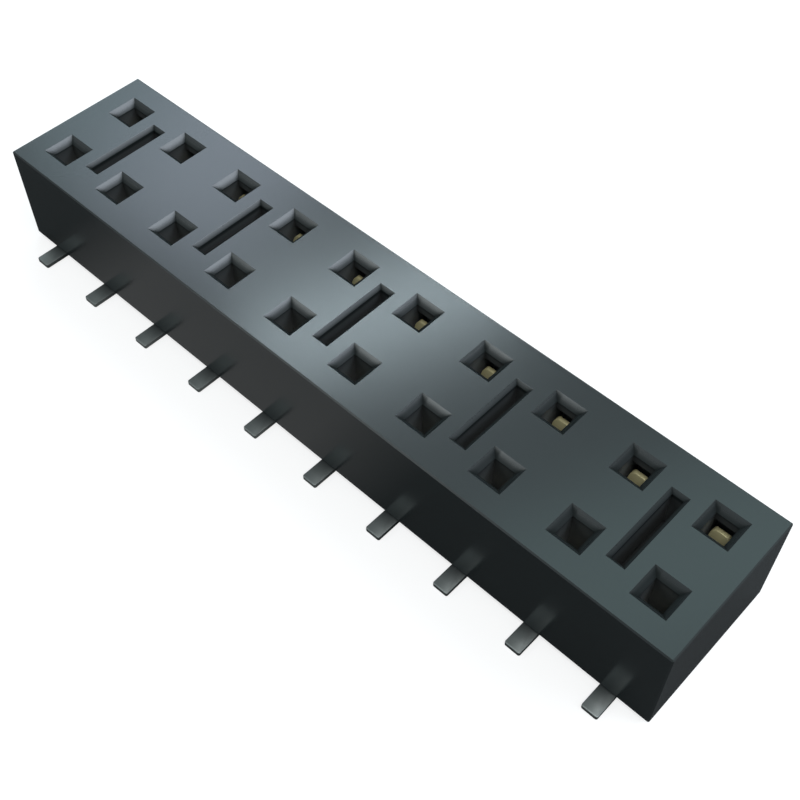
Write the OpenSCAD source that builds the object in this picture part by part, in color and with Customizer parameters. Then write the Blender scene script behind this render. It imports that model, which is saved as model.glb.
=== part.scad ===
// Dual-row female pin header strip for surface mounting.
// A moulded block holds two rows of stamped spring contacts, loaded from below.
// Origin at the middle of the footprint, at the undersides of the solder tails.
// X runs along the strip, Y runs across the rows, Z points up out of the board.

/* [Layout] */
// Number of contacts in each row
positions = 10; // [2:1:20]
// Distance from one contact to the next along a row
pitch = 2.54; // [2.2:0.01:3]
// Distance between the two rows
row_spacing = 2.54; // [2.4:0.01:3.2]

/* [Housing] */
// Height of the moulded block
body_h = 3.5; // [3.2:0.05:6]
// Block left beyond the last pocket centre at each end
end_margin = 1.27; // [0.9:0.01:2]
// Block left beyond each row's centre line at the long faces
side_margin = 1.27; // [1.1:0.01:2]
// Small flat moulded along every outer edge
edge_break = 0.04; // [0.02:0.01:0.12]

/* [Pockets] */
// Width of the square hole that a pin enters
pocket_w = 0.69; // [0.66:0.01:0.9]
// Width and depth of the sloped lead-in round each pocket mouth
lead_in = 0.19; // [0.08:0.01:0.25]
// Depth of the entry frame that guides a pin, from the top face
entry_h = 0.45; // [0.3:0.01:0.55]
// Distance from a row's centre line to the outer wall of its spring chambers
chamber_reach = 0.79; // [0.72:0.01:0.95]

/* [Coring slots] */
// Width of each slot between two pocket pairs
slot_w = 0.36; // [0.2:0.01:0.6]
// Length of each slot, across the rows
slot_l = 2.52; // [1.2:0.02:3.2]
// Width and depth of the sloped edge round each slot
slot_lead = 0.11; // [0.03:0.01:0.16]
// Depth of each slot from the top face
slot_depth = 1.4; // [0.6:0.05:2.4]
// Number of pocket pairs from one slot to the next
slot_every = 2; // [1:1:4]

/* [Contact strip] */
// Thickness of the stamped strip
strip_t = 0.15; // [0.1:0.01:0.2]
// Inside radius of the bend from the tail up into the block
heel_r = 0.12; // [0.08:0.01:0.2]
// Gap left between the strip's inner face and its groove
groove_gap = 0.02; // [0.01:0.01:0.05]
// Gap left round the heel by the sloped edge of its groove
heel_gap = 0.03; // [0.01:0.01:0.08]

/* [Solder tails] */
// Width of each tail
tail_w = 0.52; // [0.3:0.01:0.8]
// Length of tail that stands out beyond the long face
tail_out = 0.77; // [0.4:0.01:1.6]
// Radius of the corners at the tail's tip
tail_corner_r = 0.06; // [0.02:0.01:0.12]

/* [Retention plate] */
// Width across the barbs, and of the groove that they bite in
plate_w = 1.1; // [0.96:0.01:1.3]
// Height of the narrow neck below the first barb
neck_h = 0.4; // [0.36:0.01:0.6]
// Height of one barb
barb_h = 0.35; // [0.2:0.01:0.4]
// Depth of one barb
barb_depth = 0.07; // [0.03:0.01:0.1]
// Number of barbs on each edge
barb_count = 2; // [1:1:2]

/* [Spring beam] */
// Gap between each side of the beam and its chamber
beam_gap = 0.07; // [0.03:0.01:0.12]
// Distance from the row's centre line to the beam where it touches a pin
touch_inset = 0.07; // [0:0.01:0.2]
// Depth of the touching point below the top face
touch_depth = 1.2; // [1.1:0.01:1.4]
// Depth of the beam's tip below the top face
tip_depth = 0.72; // [0.6:0.01:0.8]
// Outward lean of the tip above the touching point
tip_lean = 25; // [15:1:30]
// Inside radius of the gentle bend at the beam's root
root_r = 0.2; // [0.1:0.05:0.6]
// Inside radius of the bend at the touching point
touch_r = 0.2; // [0.1:0.05:0.4]
// Width left straight across the tip, between its rounded corners
tip_flat = 0.2; // [0.05:0.01:0.3]

/* [Hidden] */
// Largest turn between two points of an arc, in degrees
arc_step = 7.5;
// Overrun of a cutter beyond the face that it opens
cut = 1;
rows = ["front", "back"];
base_z = strip_t;
top_z = base_z + body_h;
body_l = (positions - 1) * pitch + 2 * end_margin;
body_w = row_spacing + 2 * side_margin;
tail_reach = side_margin + tail_out;
beam_w = pocket_w - 2 * beam_gap;
tip_corner_r = (beam_w - tip_flat) / 2;
plate_top_z = base_z + neck_h + barb_count * barb_h;
touch_z = top_z - touch_depth;
tip_z = top_z - tip_depth;

function two_digits(n) = n < 10 ? str("0", n) : str(n);
function contact_name(row, n) = str("contact_", row, "_", two_digits(n));

// Middle of the strip at the plate, and at the touching point, from the row's centre line
plate_u = chamber_reach - strip_t / 2;
touch_u = touch_inset + strip_t / 2;

// Lean of the beam: a straight run between two bends joins the plate to the touching point
root_mid_r = root_r + strip_t / 2;
touch_mid_r = touch_r + strip_t / 2;
bends_r = root_mid_r + touch_mid_r;
beam_rise = touch_z - plate_top_z;
beam_side = bends_r - (plate_u - touch_u);
beam_run = sqrt(pow(beam_rise, 2) + pow(beam_side, 2) - pow(bends_r, 2));
beam_lean = atan2(bends_r, beam_run) - atan2(beam_side, beam_rise);

// Steps of the strip from the tail's tip to the spring's tip: straight run, middle radius of
// the bend that follows it, and that bend's angle, positive to the left
heel_mid_r = heel_r + strip_t / 2;
tail_run = tail_reach - (plate_u + heel_mid_r);
plate_run = plate_top_z - (strip_t / 2 + heel_mid_r);
BENDS = [
    [tail_run, heel_mid_r, -90],
    [plate_run, root_mid_r, beam_lean],
    [beam_run, touch_mid_r, -beam_lean - tip_lean],
];

// Straight run from the last bend until the strip's middle line is level with the tip
tip_run = (tip_z - touch_z - touch_mid_r * sin(tip_lean)) / cos(tip_lean);

function ahead(heading) = [cos(heading), sin(heading)];
function leftward(heading) = [-sin(heading), cos(heading)];

// Points along an arc, from one angle to another
function arc(centre, r, from, to) =
    let (steps = ceil(abs(to - from) / arc_step))
    [for (k = [0:steps]) centre + r * ahead(from + (to - from) * k / steps)];

// Heading and place of the strip's middle line where bend number n begins
function bend_heading(n) = n == 0 ? 180 : bend_heading(n - 1) + BENDS[n - 1][2];
function bend_start(n) =
    (n == 0 ? [tail_reach, strip_t / 2] : bend_end(n - 1)) + BENDS[n][0] * ahead(bend_heading(n));

// Centre of bend number n, and where the middle line leaves it
function bend_centre(n) =
    bend_start(n) + sign(BENDS[n][2]) * BENDS[n][1] * leftward(bend_heading(n));
function bend_end(n) =
    bend_centre(n) - sign(BENDS[n][2]) * BENDS[n][1] * leftward(bend_heading(n + 1));

// Points along one face of the strip, offset to the left of its middle line
function strip_face(offset) =
    let (last = len(BENDS))
    concat(
        [[tail_reach, strip_t / 2 - offset]],
        [
            for (n = [0:last - 1])
                let (side = sign(BENDS[n][2]), from = bend_heading(n) - 90 * side)
                each arc(bend_centre(n), BENDS[n][1] - side * offset, from, from + BENDS[n][2])
        ],
        [bend_end(last - 1) + tip_run * ahead(bend_heading(last)) + offset * leftward(bend_heading(last))]
    );

function reversed(points) = [for (k = [len(points) - 1:-1:0]) points[k]];

// Side view of the bent strip: distance outward from the row's centre line, and height
module strip_profile() {
    polygon(concat(strip_face(strip_t / 2), reversed(strip_face(-strip_t / 2))));
}

// Rectangle from y = 0 up, with both of its far corners rounded
module rounded_tab(w, l, r) {
    x = w / 2 - r;
    y = l - r;
    polygon(concat([[w / 2, 0]], arc([x, y], r, 0, 90), arc([-x, y], r, 90, 180), [[-w / 2, 0]]));
}

// Front view of the barbed plate, drawn from the neck up
module plate_outline() {
    half = plate_w / 2;
    translate([-tail_w / 2, base_z])
        square([tail_w, neck_h]);
    for (n = [0:barb_count - 1])
        translate([0, base_z + neck_h + n * barb_h])
            polygon([
                [-half, 0],
                [half, 0],
                [half - barb_depth, barb_h],
                [barb_depth - half, barb_h],
            ]);
}

// One stamped and bent contact: solder tail, barbed plate and spring beam in one strip.
// Its outward side faces +Y and the row's centre line is at the origin.
module contact() {
    color("silver")
        intersection() {
            rotate([90, 0, 90])
                linear_extrude(plate_w, center = true)
                    strip_profile();
            union() {
                translate([0, 0, -cut])
                    linear_extrude(cut + base_z)
                        rounded_tab(tail_w, tail_reach, tail_corner_r);
                translate([0, tail_reach, 0])
                    rotate([90, 0, 0])
                        linear_extrude(2 * tail_reach) {
                            plate_outline();
                            translate([0, plate_top_z])
                                rounded_tab(beam_w, tip_z - plate_top_z, tip_corner_r);
                        }
            }
        }
}

// Rectangle whose four corners are cut by the edge break
module broken_rectangle(w, h) {
    x = w / 2;
    y = h / 2;
    c = edge_break;
    polygon([
        [c - x, -y], [x - c, -y],
        [x, c - y], [x, y - c],
        [x - c, y], [c - x, y],
        [-x, y - c], [-x, c - y],
    ]);
}

// Plain block with a small flat along each of its edges
module block() {
    translate([0, 0, base_z + body_h / 2])
        intersection() {
            linear_extrude(body_h, center = true)
                broken_rectangle(body_l, body_w);
            rotate([90, 0, 0])
                linear_extrude(body_w, center = true)
                    broken_rectangle(body_l, body_h);
            rotate([90, 0, 90])
                linear_extrude(body_l, center = true)
                    broken_rectangle(body_w, body_h);
        }
}

// Cutter for one sloped side pair of a mouth, w wide at its foot and run long
module sloped_cutter(w, lead, run) {
    rotate([90, 0, 0])
        linear_extrude(run, center = true)
            polygon([
                [-w / 2, -lead],
                [w / 2, -lead],
                [w / 2 + lead + cut, cut],
                [-w / 2 - lead - cut, cut],
            ]);
}

// Cutter for a mouth with four sloped sides, w by l at its foot
module mouth_cutter(w, l, lead) {
    wide = 2 * (lead + cut);
    translate([0, 0, top_z])
        intersection() {
            sloped_cutter(w, lead, l + wide);
            rotate(90)
                sloped_cutter(l, lead, w + wide);
        }
}

// Cutter for one pocket: mouth, pin passage, spring chamber and plate groove
module pocket_cutter() {
    heel = heel_r + heel_gap;
    groove_u = chamber_reach - strip_t - groove_gap;
    mouth_cutter(pocket_w, pocket_w, lead_in);
    rotate([90, 0, 90])
        linear_extrude(pocket_w, center = true)
            polygon([
                [-pocket_w / 2, base_z - cut],
                [-pocket_w / 2, top_z + cut],
                [pocket_w / 2, top_z + cut],
                [pocket_w / 2, top_z - entry_h],
                [chamber_reach, top_z - entry_h],
                [chamber_reach, base_z - cut],
            ]);
    rotate([90, 0, 90])
        linear_extrude(plate_w, center = true)
            polygon([
                [groove_u, base_z - cut],
                [groove_u, plate_top_z],
                [chamber_reach, plate_top_z],
                [chamber_reach, base_z + heel],
                [chamber_reach + heel + cut, base_z - cut],
            ]);
}

// Cutter for one coring slot
module slot_cutter() {
    mouth_cutter(slot_w, slot_l, slot_lead);
    translate([-slot_w / 2, -slot_l / 2, top_z - slot_depth])
        cube([slot_w, slot_l, slot_depth + cut]);
}

// Puts a child at position n of a row, with its outward side away from the middle
module at_position(row, n) {
    x = (n - (positions + 1) / 2) * pitch;
    side = row == "front" ? -1 : 1;
    translate([x, side * row_spacing / 2, 0])
        rotate(row == "front" ? 180 : 0)
            children();
}

module housing() {
    color([0.16, 0.17, 0.18])
        difference() {
            block();
            for (row = rows)
                for (n = [1:positions])
                    at_position(row, n)
                        pocket_cutter();
            for (n = [1:slot_every:positions - 1])
                translate([(n - positions / 2) * pitch, 0, 0])
                    slot_cutter();
        }
}

housing();
for (row = rows)
    for (n = [1:positions])
        at_position(row, n) contact();
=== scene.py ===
"""Studio picture of a dual-row female pin header strip for surface mounting.

Everything is in metres in the part's own frame: X along the strip, Y across the rows, Z up,
with the undersides of the solder tails at z = 0. The named sizes are in millimetres.
"""

import math

import bmesh
import bpy
from mathutils import Matrix, Vector


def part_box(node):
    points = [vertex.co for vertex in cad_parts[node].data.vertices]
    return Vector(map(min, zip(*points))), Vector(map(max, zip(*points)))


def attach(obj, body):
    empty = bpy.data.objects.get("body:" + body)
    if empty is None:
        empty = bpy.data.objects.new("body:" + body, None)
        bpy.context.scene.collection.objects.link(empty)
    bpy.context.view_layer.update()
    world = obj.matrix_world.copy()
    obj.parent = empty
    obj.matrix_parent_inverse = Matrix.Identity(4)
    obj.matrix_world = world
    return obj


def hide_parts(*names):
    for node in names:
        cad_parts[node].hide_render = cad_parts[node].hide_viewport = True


MM = 0.001

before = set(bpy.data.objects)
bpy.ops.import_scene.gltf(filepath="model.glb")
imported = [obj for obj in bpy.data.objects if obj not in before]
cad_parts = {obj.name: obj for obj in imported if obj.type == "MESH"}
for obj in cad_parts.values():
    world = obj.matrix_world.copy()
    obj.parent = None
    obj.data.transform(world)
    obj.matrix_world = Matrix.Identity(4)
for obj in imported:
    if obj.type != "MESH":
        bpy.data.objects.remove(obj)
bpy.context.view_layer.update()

# Camera: fitted to the block's outline, the pocket mouths and the tails in the 800 x 800 photograph
FRAME_PIXELS = 800
SENSOR = 36.0
FOCAL_PIXELS = 1195.5
CAMERA_PLACE = (16.290, -15.397, 28.806)
CAMERA_AIM = (1.097, 0.708, 0.0)
NEAREST_SEEN, FARTHEST_SEEN = 0.5, 10000.0


def mm(*sizes):
    """Sizes in millimetres, as metres."""
    return [size * MM for size in sizes]


def place_camera():
    data = bpy.data.cameras.new("camera")
    data.sensor_width = SENSOR
    data.lens = SENSOR * FOCAL_PIXELS / FRAME_PIXELS
    data.clip_start, data.clip_end = mm(NEAREST_SEEN, FARTHEST_SEEN)
    camera = bpy.data.objects.new("camera", data)
    bpy.context.collection.objects.link(camera)
    place = Vector(CAMERA_PLACE) * MM
    aim = Vector(CAMERA_AIM) * MM
    camera.location = place
    camera.rotation_euler = (aim - place).to_track_quat("-Z", "Y").to_euler()
    bpy.context.scene.camera = camera


# Sockets of a colour Mix node: its share, its two colours and its result
MIX_SHARE, MIX_FIRST, MIX_SECOND, MIX_RESULT = 0, 6, 7, 2
NOISE_DETAIL = 3.0
OPEN_SKY_RAYS = 12


class Tree:
    """Short calls for building the nodes of a material, the world or a row of contacts."""

    def __init__(self, tree):
        self.tree = tree
        self.tree.nodes.clear()

    def add(self, kind, sets=None, **props):
        """One node. The props are its own settings, and sets has values or links for its inputs."""
        node = self.tree.nodes.new(kind)
        for key, value in props.items():
            setattr(node, key, value)
        for key, value in (sets or {}).items():
            if isinstance(value, bpy.types.NodeSocket):
                self.tree.links.new(value, node.inputs[key])
            else:
                node.inputs[key].default_value = value
        return node

    def maths(self, operation, a, b=0.0):
        return self.add("ShaderNodeMath", {0: a, 1: b}, operation=operation).outputs[0]

    def plus(self, a, b):
        return self.maths("ADD", a, b)

    def minus(self, a, b):
        return self.maths("SUBTRACT", a, b)

    def times(self, a, b):
        return self.maths("MULTIPLY", a, b)

    def size(self, a):
        """The value without its sign."""
        return self.maths("ABSOLUTE", a)

    def over(self, a, limit):
        """1 where the value is over the limit, else 0."""
        return self.maths("GREATER_THAN", a, limit)

    def under(self, a, limit):
        """1 where the value is under the limit, else 0."""
        return self.maths("LESS_THAN", a, limit)

    def spread(self, value, low, high, low_to, high_to, how="LINEAR"):
        """Lays the span from low to high over the span from low_to to high_to, and stops there."""
        node = self.add("ShaderNodeMapRange", {
            "Value": value, "From Min": low, "From Max": high, "To Min": low_to, "To Max": high_to,
        }, interpolation_type=how)
        return node.outputs["Result"]

    def blend(self, share, first, second):
        """The first colour where the share is 0, the second where it is 1."""
        node = self.add("ShaderNodeMix", {
            MIX_SHARE: share, MIX_FIRST: first, MIX_SECOND: second,
        }, data_type="RGBA")
        return node.outputs[MIX_RESULT]

    def object_place(self):
        return self.add("ShaderNodeTexCoord").outputs["Object"]

    def axes(self, place):
        parts = self.add("ShaderNodeSeparateXYZ", {"Vector": place}).outputs
        return parts["X"], parts["Y"], parts["Z"]

    def noise(self, place, per_mm, roughness=0.5):
        """Soft patches or grain: how many waves to a millimetre, and how rough they are."""
        node = self.add("ShaderNodeTexNoise", {
            "Vector": place, "Scale": per_mm / MM, "Detail": NOISE_DETAIL, "Roughness": roughness,
        })
        return node.outputs["Fac"]

    def open_sky(self, reach):
        """1 where the surface faces open air, less down in a mouth or a hole of the same piece."""
        node = self.add("ShaderNodeAmbientOcclusion", {"Distance": reach},
                        samples=OPEN_SKY_RAYS, only_local=True)
        return node.outputs["AO"]

    def bump(self, height, strength, depth):
        node = self.add("ShaderNodeBump", {
            "Height": height, "Strength": strength, "Distance": depth,
        })
        return node.outputs["Normal"]

    def seen_by(self, camera, gloss, rest=0.0):
        """One strength for camera rays, one for mirror and glass rays, and one for all others."""
        path = self.add("ShaderNodeLightPath").outputs
        mirrored = self.maths("MAXIMUM", path["Is Glossy Ray"], path["Is Transmission Ray"])
        unseen = self.spread(mirrored, 0.0, 1.0, rest, gloss)
        return self.spread(path["Is Camera Ray"], 0.0, 1.0, unseen, camera)

    def finish(self, surface):
        self.add("ShaderNodeOutputMaterial", {"Surface": surface})


def new_material(name):
    material = bpy.data.materials.new(name)
    material.use_nodes = True
    return material, Tree(material.node_tree)


# The block: height of its top face, half its width, the flat along its long top edges (a little
# less than its real size), and where the plain rim round the mouths begins
TOP_HEIGHT = 3.65
HALF_WIDTH = 2.54
EDGE_BREAK = 0.039
RIM_X, RIM_Y = 12.3, 2.1

# The mouths: the distance of two, how deep their slopes go, and in each such distance the middle
# of a mouth's left slope and half its width, in full and with a soft border
PITCH = 2.54
SLOPE_DEPTH = 0.19
SLOPE_FOOT = TOP_HEIGHT - SLOPE_DEPTH
LEFT_SLOPE = 0.83
LEFT_SLOPE_HALF = (0.11, 0.17)

# The coring slots: the distance of two, their depth, and half their width with their slopes, in
# full and with a soft border
SLOT_STEP = 5.08
SLOT_DEPTH = 1.4
SLOT_HALF = (0.55, 0.60)

# Painted shade: how dark and dull the plastic is painted at the foot of a mouth's slope, on a
# slot's slopes and along the block's long top edges, where 1 is the darkest and dullest
SLOPE_SHADE, SLOT_SHADE, EDGE_SHADE = 0.8, 0.35, 0.45
# Depth under the top face at which the painted shade and dulling begin, and at which they are in
# full
SKIN_DEPTH = (0.002, 0.006)
# How much farther down the left slopes the painted shade and dulling begin, for the two ends of a
# span along the strip and for the two ends of a span across it, so that the left slopes are painted
# lighter or darker with how the light falls on them
ALONG_SPAN, LOWER_ALONG = (-6.0, 5.0), (0.045, -0.045)
ACROSS_SPAN, LOWER_ACROSS = (-1.5, 1.5), (-0.02, 0.0)
# Painted shade in the mouths' corners: how far into a corner of a mouth it looks, and the share of
# open sky that it sees where it begins and where it is in full
CORNER_REACH = 0.3
CORNER_SKY = (0.92, 0.60)

# The walls in the holes, painted lighter downwards as painted light: how far under the slopes their
# paint is in full, how far under them it is palest, and how far up a slot's walls the dark paint of
# its floor goes, as painted shade
WALL_START = 0.08
WALL_LIGHT_DEPTH = 0.9
FLOOR_SHADE_BORDER = 0.04

SKIN_DARK, SKIN_PALE = (0.016, 0.020, 0.021, 1.0), (0.020, 0.025, 0.026, 1.0)
# The skin's painted shade, where the mouths, slots and long top edges are painted darker
SKIN_PAINTED_SHADE = (0.012, 0.015, 0.015, 1.0)
# The holes' walls, painted lighter than the skin as painted light and paler still down the holes;
# the slots' floors keep the first tone as painted shade
WALL_DARK, WALL_PAINTED_LIGHT = (0.034, 0.037, 0.037, 1.0), (0.12, 0.125, 0.125, 1.0)

# The plastic's patches and grain, in waves to a millimetre, how rough the grain is, the span of it
# that shows, its height, and how strongly the block shows that height
BLOCK_PATCHES, BLOCK_GRAIN = 0.35, 14.0
GRAIN_ROUGHNESS = 0.6
GRAIN_SPAN = (0.3, 0.7)
GRAIN_HEIGHT = 0.002
BLOCK_BUMP = 0.30
# Roughness of the plain skin, how much rougher the dullest plastic is, and the shine of each
SKIN_ROUGHNESS = (0.17, 0.21)
DULL_ROUGHER = 0.25
PLAIN_SHINE, DULL_SHINE = 0.5, 0.04
PLASTIC_IOR = 1.5


def inside_rim(s, x, y):
    """1 where the mouths and slots are, 0 on the plain rim and the outer faces."""
    return s.times(s.under(s.size(x), RIM_X * MM), s.under(s.size(y), RIM_Y * MM))


def along_slot(s, x):
    """1 at a slot and its slopes, 0 between slots, by the place along the strip alone."""
    return s.spread(s.maths("PINGPONG", x, 0.5 * SLOT_STEP * MM), *mm(*SLOT_HALF), 1.0, 0.0)


def slope_shade_and_dullness(s, x, y, z):
    """Painted shade and dulling that grow from the top face to the slopes' foot, and reach lower or
    higher on the left slopes along and across the strip, to follow how the light falls there.
    """
    along = s.spread(x, *mm(*ALONG_SPAN, *LOWER_ALONG))
    across = s.spread(y, *mm(*ACROSS_SPAN, *LOWER_ACROSS))
    in_pitch = s.maths("FLOORED_MODULO", x, PITCH * MM)
    off_slope = s.size(s.minus(in_pitch, LEFT_SLOPE * MM))
    left_slope = s.spread(off_slope, *mm(*LEFT_SLOPE_HALF), 1.0, 0.0)
    lower = s.times(s.plus(along, across), left_slope)
    return s.spread(s.plus(z, lower), *mm(TOP_HEIGHT, SLOPE_FOOT), 0.0, SLOPE_SHADE, "SMOOTHSTEP")


def edge_shade_and_dullness(s, y, z):
    """Painted shade and dulling along the block's two long top edges, and 0 everywhere else."""
    past_face = s.over(s.size(y), (HALF_WIDTH - EDGE_BREAK) * MM)
    past_side = s.over(z, (TOP_HEIGHT - EDGE_BREAK) * MM)
    return s.times(s.times(past_face, past_side), EDGE_SHADE)


def block_shade_and_dullness(s, x, y, z, mouths, slot):
    """0 on the plain skin, up to 1 where shade is painted and the plastic dulled: down the mouths'
    slopes, in their corners, on the slots and along the long top edges.
    """
    begin, full = SKIN_DEPTH
    below_skin = s.spread(z, *mm(TOP_HEIGHT - begin, TOP_HEIGHT - full), 0.0, 1.0)
    slopes = s.times(slope_shade_and_dullness(s, x, y, z), below_skin)
    # Painted shade in the mouths' corners, where the surface sees less open sky
    corners = s.spread(s.open_sky(CORNER_REACH * MM), *CORNER_SKY, 0.0, 1.0)
    slots = s.times(s.times(slot, below_skin), SLOT_SHADE)
    mouth_shade = s.times(mouths, s.plus(s.plus(slopes, corners), slots))
    return s.plus(mouth_shade, edge_shade_and_dullness(s, y, z))


def wall_light_and_shade(s, z, slot):
    """Painted light: paler down the holes, as the photograph shows; painted shade: dark on the
    slots' floors.
    """
    sunk = s.spread(z, *mm(SLOPE_FOOT, SLOPE_FOOT - WALL_LIGHT_DEPTH), 0.0, 1.0)
    near_floor = s.under(z, (TOP_HEIGHT - SLOT_DEPTH + FLOOR_SHADE_BORDER) * MM)
    slot_floor = s.times(slot, near_floor)
    return s.blend(s.minus(sunk, slot_floor), WALL_DARK, WALL_PAINTED_LIGHT)


def moulded_black():
    """Glass-filled black plastic: slate tone, soft gloss and a very fine moulded grain.

    Painted shade darkens and dulls the mouths inwards and along their corners, the slots and the
    long top edges, and painted light makes the holes' walls paler downwards."""
    material, s = new_material("moulded_black")
    place = s.object_place()
    x, y, z = s.axes(place)
    patches = s.noise(place, BLOCK_PATCHES)
    grain = s.noise(place, BLOCK_GRAIN, GRAIN_ROUGHNESS)
    mouths = inside_rim(s, x, y)
    slot = along_slot(s, x)
    # Painted shade, which also dulls the gloss, down the mouths, in their corners, on the slots and
    # along the long top edges
    shade_and_dull = block_shade_and_dullness(s, x, y, z, mouths, slot)
    skin = s.blend(shade_and_dull, s.blend(patches, SKIN_DARK, SKIN_PALE), SKIN_PAINTED_SHADE)
    under_slopes = s.spread(z, *mm(SLOPE_FOOT, SLOPE_FOOT - WALL_START), 0.0, 1.0)
    hole = s.times(mouths, under_slopes)
    roughness = s.spread(grain, *GRAIN_SPAN, *SKIN_ROUGHNESS)
    shine = s.add("ShaderNodeBsdfPrincipled", {
        "Base Color": s.blend(hole, skin, wall_light_and_shade(s, z, slot)),
        "Roughness": s.plus(roughness, s.spread(shade_and_dull, 0.0, 1.0, 0.0, DULL_ROUGHER)),
        "IOR": PLASTIC_IOR,
        "Specular IOR Level": s.spread(shade_and_dull, 0.0, 1.0, PLAIN_SHINE, DULL_SHINE),
        "Normal": s.bump(grain, BLOCK_BUMP, GRAIN_HEIGHT * MM),
    })
    s.finish(shine.outputs[0])
    return material


# The plating: the heights between which tin turns to gold, and the distances from the middle of the
# strip between which the tails turn from painted shade at their roots by the block to pale tin
GOLD_BEGINS = (1.2, 1.3)
ROOT_SHADE_SPAN = (2.55, 3.05)
TIN_ROOT_SHADE = (0.085, 0.093, 0.092, 1.0)
TIN_PALE, TIN_PALEST = (0.20, 0.22, 0.215, 1.0), (0.25, 0.27, 0.265, 1.0)
GOLD_DARK, GOLD_PALE = (0.58, 0.52, 0.28, 1.0), (0.68, 0.62, 0.35, 1.0)
PLATING_PATCHES, PLATING_GRAIN = 1.2, 25.0
PLATING_ROUGHNESS = (0.36, 0.5)
TIN_METALLIC, GOLD_METALLIC = 0.85, 0.35
PLATING_BUMP = 0.2


def plated_strip():
    """Stamped contact strip: dull tin on the tail and plate, gold on the spring above them."""
    material, s = new_material("plated_strip")
    place = s.object_place()
    _, outward, height = s.axes(place)
    patches = s.noise(place, PLATING_PATCHES)
    grain = s.noise(place, PLATING_GRAIN, GRAIN_ROUGHNESS)
    # Painted shade: the tails are painted dark at their roots by the block, fading to their own tin
    # outwards
    past_root_shade = s.spread(s.size(outward), *mm(*ROOT_SHADE_SPAN), 0.0, 1.0)
    tin = s.blend(past_root_shade, TIN_ROOT_SHADE, s.blend(patches, TIN_PALE, TIN_PALEST))
    gold = s.blend(patches, GOLD_DARK, GOLD_PALE)
    gold_share = s.spread(height, *mm(*GOLD_BEGINS), 0.0, 1.0)
    shine = s.add("ShaderNodeBsdfPrincipled", {
        "Base Color": s.blend(gold_share, tin, gold),
        "Metallic": s.spread(gold_share, 0.0, 1.0, TIN_METALLIC, GOLD_METALLIC),
        "Roughness": s.spread(grain, *GRAIN_SPAN, *PLATING_ROUGHNESS),
        "Normal": s.bump(grain, PLATING_BUMP, GRAIN_HEIGHT * MM),
    })
    s.finish(shine.outputs[0])
    return material


FLOOR_HALF = 1000.0
# The floor to the camera: its paint, its glow near the strip and far away, and the distances
# between which that changes
CAMERA_PAINT, CAMERA_GLOW, GLOW_SPAN = 0.34, (0.73, 0.96), (40.0, 300.0)
# The floor in the part's gloss: its paint, its glow, and the places along the strip between which
# that glow rises and falls
MIRROR_PAINT, MIRROR_GLOW, RISE_SPAN, FALL_SPAN = 0.065, 0.185, (-12.3, -8.6), (0.0, 3.5)
# The floor as light on the part
OTHER_PAINT = 0.10


def white_floor():
    """Pale floor that reads white, keeps the strip's soft shadow and is clear from below."""
    material, s = new_material("white_floor")
    place = s.object_place()
    along, _, _ = s.axes(place)
    away = s.add("ShaderNodeVectorMath", {0: place}, operation="LENGTH").outputs["Value"]
    camera_glow = s.spread(away, *mm(*GLOW_SPAN), *CAMERA_GLOW)
    rise = s.spread(along, *mm(*RISE_SPAN), 0.0, MIRROR_GLOW)
    fall = s.spread(along, *mm(*FALL_SPAN), 1.0, 0.0)
    mirror_glow = s.times(rise, fall)
    shade = s.seen_by(CAMERA_PAINT, MIRROR_PAINT, OTHER_PAINT)
    grey = s.add("ShaderNodeCombineColor", {0: shade, 1: shade, 2: shade})
    paint = s.add("ShaderNodeBsdfDiffuse", {"Color": grey.outputs[0]})
    glow = s.add("ShaderNodeEmission", {"Strength": s.seen_by(camera_glow, mirror_glow)})
    topside = s.add("ShaderNodeAddShader", {0: paint.outputs[0], 1: glow.outputs[0]})
    clear = s.add("ShaderNodeBsdfTransparent")
    from_below = s.add("ShaderNodeNewGeometry").outputs["Backfacing"]
    sided = s.add("ShaderNodeMixShader", {
        0: from_below, 1: topside.outputs[0], 2: clear.outputs[0],
    })
    s.finish(sided.outputs[0])
    return material


def lay_floor():
    half = FLOOR_HALF * MM
    corners = [(-half, -half, 0), (half, -half, 0), (half, half, 0), (-half, half, 0)]
    mesh = bpy.data.meshes.new("floor")
    mesh.from_pydata(corners, [], [(0, 1, 2, 3)])
    floor = bpy.data.objects.new("floor", mesh)
    bpy.context.collection.objects.link(floor)
    mesh.materials.append(white_floor())


# The surroundings: how bright they are to the camera, in the part's gloss and as light on it, and
# their colour for the last two and for the camera
BACKDROP, MIRRORED_SKY, SKY_LIGHT = 1.0, 0.58, 0.50
SKY_TINT, BACKDROP_TINT = (0.88, 0.97, 1.0, 1.0), (1.0, 1.0, 1.0, 1.0)


def white_surroundings():
    """White to the camera, cool pale grey to gloss, and soft grey as light on the object."""
    world = bpy.data.worlds.new("surroundings")
    world.use_nodes = True
    s = Tree(world.node_tree)
    backdrop = s.add("ShaderNodeBackground", {
        "Color": s.blend(s.seen_by(1.0, 0.0), SKY_TINT, BACKDROP_TINT),
        "Strength": s.seen_by(BACKDROP, MIRRORED_SKY, SKY_LIGHT),
    })
    s.add("ShaderNodeOutputWorld", {"Surface": backdrop.outputs[0]})
    bpy.context.scene.world = world


# Softboxes that face the strip: name, place, width and length in millimetres, radiance, colour
COOL = (0.80, 0.89, 1.0)
NEUTRAL = (1.0, 1.0, 1.0)
FACING_BOXES = [
    ("key", (112, 69, 112), 90, 74, 6.9, COOL),
    ("overhead", (50, -20, 190), 80, 80, 6.0, NEUTRAL),
    ("front_fill", (-63, -112, 75), 50, 50, 3.6, (0.92, 1.0, 1.0)),
]
STRIP_MIDDLE = (0, 0, 2)

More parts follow.
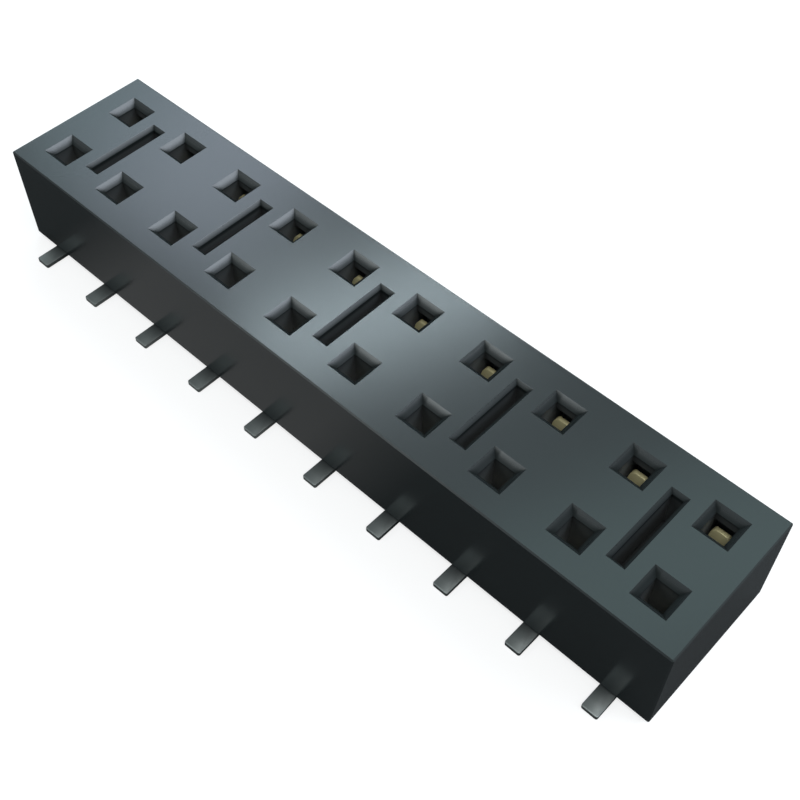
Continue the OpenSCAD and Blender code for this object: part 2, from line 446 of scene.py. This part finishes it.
# Softboxes that hang level behind the strip and show as the soft bands on its top face:
# name, place above the strip, width, length, turn in degrees, radiance, colour
BAND_HEIGHT = 103.65
LEVEL_BOXES = [
    ("middle_band", (-62.3, 64.8), 12.6, 41.8, -23.2, 12.8, (0.77, 0.93, 1.0)),
    ("left_band", (-104.8, 79.4), 30.1, 60.0, 9.8, 4.1, (0.73, 0.84, 1.0)),
    ("far_left", (-127.0, 83.6), 60.0, 60.7, -30.0, 1.8, (0.62, 0.90, 1.0)),
    ("right_end", (-3.0, 66.7), 26.7, 71.1, -30.0, 1.25, (0.63, 1.0, 1.0)),
]


def hang_softbox(name, place, turn, width, length, radiance, colour):
    """A lamp with an even face. Its power is what gives the face that radiance at its size."""
    data = bpy.data.lights.new(name, "AREA")
    data.shape = "RECTANGLE"
    data.size, data.size_y = mm(width, length)
    data.energy = radiance * math.pi * data.size * data.size_y
    data.color = colour
    box = bpy.data.objects.new(name, data)
    bpy.context.collection.objects.link(box)
    box.matrix_world = Matrix.Translation(Vector(place) * MM) @ turn.to_4x4()


def hang_softboxes():
    for name, place, *rest in FACING_BOXES:
        towards = Vector(STRIP_MIDDLE) - Vector(place)
        hang_softbox(name, place, towards.to_track_quat("-Z", "Y").to_matrix(), *rest)
    for name, (x, y), width, length, turn, *rest in LEVEL_BOXES:
        level = Matrix.Rotation(math.radians(turn), 3, "Z")
        hang_softbox(name, (x, y, BAND_HEIGHT), level, width, length, *rest)


# The contacts: how many stand in a row, and the soft edge that stamping leaves on the strip
POSITIONS = 10
SOFT_EDGE = 0.012
SOFT_EDGE_FACES = 2
# Degrees: a turn under the first is no edge, and one over the second is a cut edge
FLAT_TURN, SHARP_TURN = 1.0, 50.0
WELD_DISTANCE = 0.0001


def soft_edged_contact(node, finish):
    """One contact of the near row, moved to the strip's middle, with its cut edges softened."""
    contact = bmesh.new()
    contact.from_mesh(node.data)
    bmesh.ops.remove_doubles(contact, verts=contact.verts, dist=WELD_DISTANCE * MM)
    bmesh.ops.dissolve_limit(contact, angle_limit=math.radians(FLAT_TURN),
                             verts=contact.verts, edges=contact.edges)
    low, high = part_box(node.name)
    bmesh.ops.translate(contact, verts=contact.verts, vec=(-0.5 * (low[0] + high[0]), 0, 0))
    sharp = math.radians(SHARP_TURN)
    cut_edges = [edge for edge in contact.edges
                 if len(edge.link_faces) == 2 and edge.calc_face_angle() > sharp]
    bmesh.ops.bevel(contact, geom=cut_edges, offset=SOFT_EDGE * MM, offset_type="OFFSET",
                    segments=SOFT_EDGE_FACES, profile=0.5, affect="EDGES", clamp_overlap=True)
    for face in contact.faces:
        face.smooth = True
    mesh = bpy.data.meshes.new("soft_edged_contact")
    contact.to_mesh(mesh)
    contact.free()
    mesh.set_sharp_from_angle(angle=sharp)
    mesh.materials.append(finish)
    return mesh


def contact_row_tree():
    """Stands its contact at every position of a row, turned to face the middle of the strip."""
    group = bpy.data.node_groups.new("contact_row", "GeometryNodeTree")
    for name, kind in (("Contact", "NodeSocketGeometry"), ("Positions", "NodeSocketInt"),
                       ("Pitch", "NodeSocketFloat"), ("Turn", "NodeSocketFloat"),
                       ("Finish", "NodeSocketMaterial")):
        group.interface.new_socket(name, in_out="INPUT", socket_type=kind)
    group.interface.new_socket("Row", in_out="OUTPUT", socket_type="NodeSocketGeometry")

    g = Tree(group)
    sizes = g.add("NodeGroupInput").outputs
    length = g.times(g.minus(sizes["Positions"], 1.0), sizes["Pitch"])
    start = g.add("ShaderNodeCombineXYZ", {"X": g.times(length, -0.5)})
    step = g.add("ShaderNodeCombineXYZ", {"X": sizes["Pitch"]})
    places = g.add("GeometryNodeMeshLine", {
        "Count": sizes["Positions"], "Start Location": start.outputs[0], "Offset": step.outputs[0],
    }, mode="OFFSET")
    facing = g.add("ShaderNodeCombineXYZ", {"Z": sizes["Turn"]})
    stood = g.add("GeometryNodeInstanceOnPoints", {
        "Points": places.outputs["Mesh"], "Instance": sizes["Contact"],
        "Rotation": facing.outputs[0],
    })
    plain = g.add("GeometryNodeRealizeInstances", {"Geometry": stood.outputs["Instances"]})
    plated = g.add("GeometryNodeSetMaterial", {
        "Geometry": plain.outputs["Geometry"], "Material": sizes["Finish"],
    })
    g.add("NodeGroupOutput", {"Row": plated.outputs["Geometry"]})
    return group


def stand_contacts(tree, name, contact, turn, finish):
    """One row of contacts as a plain mesh that stands for the row's ten solids."""
    row = bpy.data.objects.new(name, contact)
    bpy.context.collection.objects.link(row)
    setting_out = row.modifiers.new("setting_out", "NODES")
    setting_out.node_group = tree
    values = {
        "Positions": POSITIONS, "Pitch": PITCH * MM, "Turn": math.radians(turn), "Finish": finish,
    }
    for item in tree.interface.items_tree:
        if item.in_out == "INPUT" and item.name in values:
            setting_out[item.identifier] = values[item.name]
    built = row.evaluated_get(bpy.context.evaluated_depsgraph_get())
    mesh = bpy.data.meshes.new_from_object(built)
    row.modifiers.remove(setting_out)
    row.data = mesh
    one_solid = name.replace("contacts", "contact")
    nodes = [node for node in sorted(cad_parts) if node.startswith(one_solid)]
    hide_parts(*nodes)
    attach(row, "root")


def dress_block(finish):
    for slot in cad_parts["housing"].material_slots:
        slot.material = finish


def stand_rows(finish):
    tree = contact_row_tree()
    contact = soft_edged_contact(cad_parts["contact_front_01"], finish)
    stand_contacts(tree, "contacts_front", contact, 0.0, finish)
    stand_contacts(tree, "contacts_back", contact, 180.0, finish)


place_camera()
white_surroundings()
hang_softboxes()
lay_floor()
dress_block(moulded_black())
stand_rows(plated_strip())

bpy.context.scene.view_settings.view_transform = "Standard"
